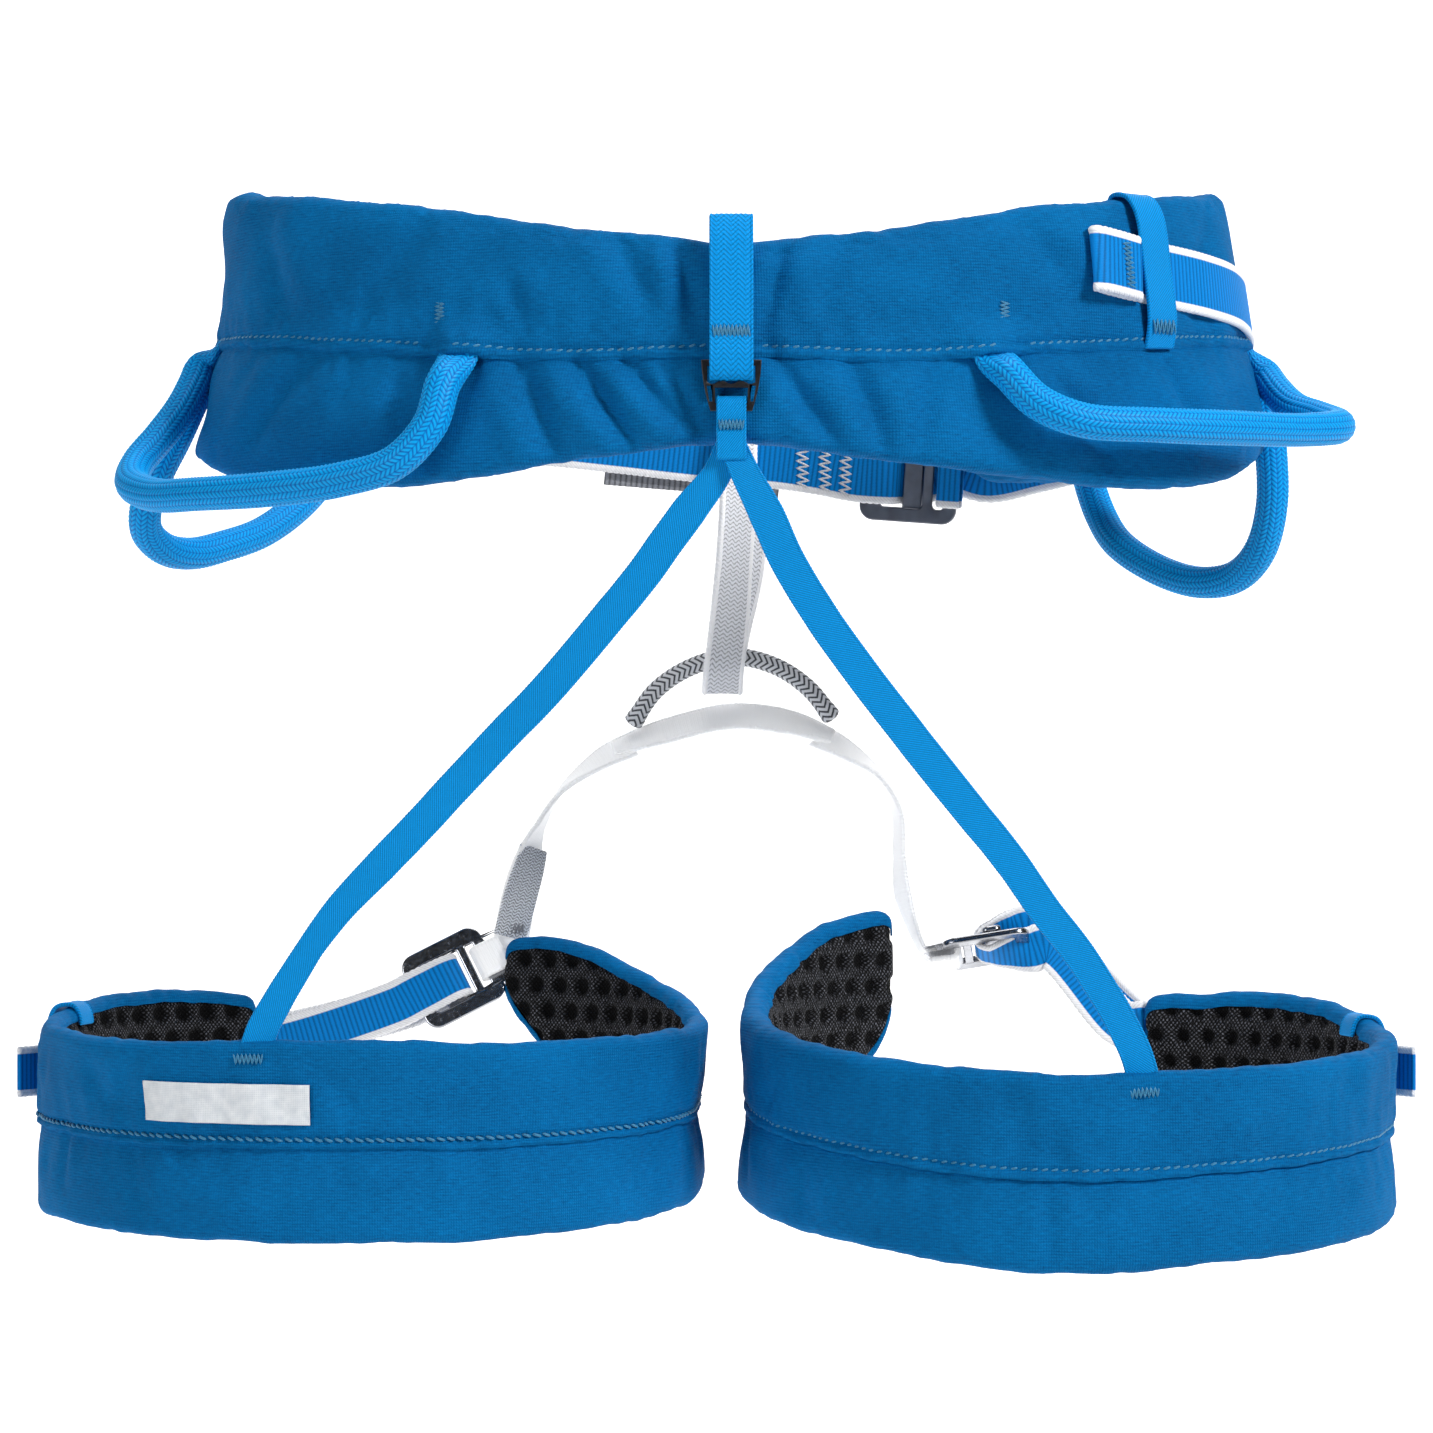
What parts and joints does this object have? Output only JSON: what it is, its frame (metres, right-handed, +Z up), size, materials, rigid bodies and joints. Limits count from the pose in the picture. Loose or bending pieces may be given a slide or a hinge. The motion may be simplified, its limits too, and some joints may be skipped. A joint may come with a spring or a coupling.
{
  "type": "climbing harness",
  "caption": "Padded sit harness: waist belt with slide-block buckle, two adjustable leg loops, belay loop, elastic rear risers and stiff gear loops, posed as worn.",
  "frame": {"origin": "middle of the waist opening, at the height of the belt's rear seam", "axes": "+X towards the wearer's right side, +Y towards the wearer's front and the belay loop, +Z up"},
  "size_m": [0.458, 0.2329, 0.3341],
  "materials": {
    "shell_fabric": "satin",
    "blue_webbing": "matte",
    "blue_elastic": "matte",
    "mesh_lining": "matte",
    "foam": "matte",
    "grey_webbing": "matte",
    "white_webbing": "matte",
    "gear_loop_braid": "matte",
    "gear_loop_tube": "satin",
    "label": "satin",
    "black_plastic": "satin",
    "dark_steel": "satin",
    "bright_steel": "polished"
  },
  "bodies": {
    "waist_belt": {"waist_belt_shell": "shell_fabric", "waist_belt_webbing": "blue_webbing", "waist_belt_foam": "foam", "waist_belt_lining": "mesh_lining", "waist_strap": "blue_webbing", "waist_strap_keeper": "blue_elastic", "waist_buckle_anchor": "blue_webbing", "waist_buckle_frame": "dark_steel", "haul_loop": "blue_webbing", "riser_hook": "black_plastic", "riser_top_loop": "blue_elastic", "tie_in_protector_upper": "grey_webbing", "tie_in_protector_lower": "grey_webbing", "tie_in_bridge": "white_webbing"},
    "waist_buckle_slider": {"waist_buckle_slider": "dark_steel"},
    "belay_loop": {"belay_loop": "grey_webbing"},
    "gear_loop_rear_left": {"gear_loop_rear_left_sheath": "gear_loop_braid", "gear_loop_rear_left_core": "gear_loop_tube"},
    "gear_loop_rear_right": {"gear_loop_rear_right_sheath": "gear_loop_braid", "gear_loop_rear_right_core": "gear_loop_tube"},
    "gear_loop_front_left": {"gear_loop_front_left_sheath": "gear_loop_braid", "gear_loop_front_left_core": "gear_loop_tube"},
    "gear_loop_front_right": {"gear_loop_front_right_sheath": "gear_loop_braid", "gear_loop_front_right_core": "gear_loop_tube"},
    "leg_loop_left": {"leg_loop_left_shell": "shell_fabric", "leg_loop_left_webbing": "blue_webbing", "leg_loop_left_foam": "foam", "leg_loop_left_lining": "mesh_lining", "leg_riser_left": "blue_elastic", "leg_web_left": "white_webbing", "leg_strap_left": "blue_webbing", "leg_buckle_left_frame": "bright_steel", "leg_keeper_left": "blue_elastic", "leg_loop_label": "label"},
    "leg_buckle_left_slider": {"leg_buckle_left_slider": "bright_steel"},
    "leg_loop_right": {"leg_loop_right_shell": "shell_fabric", "leg_loop_right_webbing": "blue_webbing", "leg_loop_right_foam": "foam", "leg_loop_right_lining": "mesh_lining", "leg_riser_right": "blue_elastic", "leg_web_right": "white_webbing", "leg_strap_right": "blue_webbing", "leg_buckle_right_frame": "bright_steel", "leg_keeper_right": "blue_elastic"},
    "leg_buckle_right_slider": {"leg_buckle_right_slider": "bright_steel"}
  },
  "joints": [
    {"name": "leg_left_swing", "type": "hinge", "parent": "waist_belt", "child": "leg_loop_left", "pos_m": [-0.004, -0.1134, -0.037], "axis": [-0.1681, 0.9112, -0.3762], "range_deg": [0, 18]},
    {"name": "leg_right_swing", "type": "hinge", "parent": "waist_belt", "child": "leg_loop_right", "pos_m": [0.0025, -0.1164, -0.037], "axis": [-0.1482, -0.9208, 0.3608], "range_deg": [0, 18]},
    {"name": "belay_loop_slide", "type": "slide", "parent": "waist_belt", "child": "belay_loop", "axis": [1, 0, 0], "range_m": [-0.004, 0.01]},
    {"name": "gear_rear_left_lift", "type": "hinge", "parent": "waist_belt", "child": "gear_loop_rear_left", "pos_m": [-0.0865, -0.0995, -0.0024], "axis": [-0.65, 0.7594, 0.0301], "range_deg": [0, 40], "stiffness_Nm_per_rad": 0.08},
    {"name": "gear_rear_right_lift", "type": "hinge", "parent": "waist_belt", "child": "gear_loop_rear_right", "pos_m": [0.081, -0.0995, -0.0024], "axis": [-0.6845, -0.729, -0.0045], "range_deg": [0, 40], "stiffness_Nm_per_rad": 0.08},
    {"name": "gear_front_left_lift", "type": "hinge", "parent": "waist_belt", "child": "gear_loop_front_left", "pos_m": [-0.1718, 0.014, -0.0005], "axis": [0.4836, 0.8537, -0.1932], "range_deg": [0, 40], "stiffness_Nm_per_rad": 0.08},
    {"name": "gear_front_right_lift", "type": "hinge", "parent": "waist_belt", "child": "gear_loop_front_right", "pos_m": [0.1728, 0.014, -0.003], "axis": [0.5539, -0.8074, 0.2032], "range_deg": [0, 40], "stiffness_Nm_per_rad": 0.08},
    {"name": "waist_slider_release", "type": "slide", "parent": "waist_belt", "child": "waist_buckle_slider", "axis": [0.9722, -0.22, -0.08], "range_m": [0, 0.0025]},
    {"name": "leg_left_slider_release", "type": "slide", "parent": "leg_loop_left", "child": "leg_buckle_left_slider", "axis": [-0.8913, -0.0501, -0.4506], "range_m": [0, 0.0025]},
    {"name": "leg_right_slider_release", "type": "slide", "parent": "leg_loop_right", "child": "leg_buckle_right_slider", "axis": [0.9858, -0.05, 0.1601], "range_m": [0, 0.0025]}
  ]
}
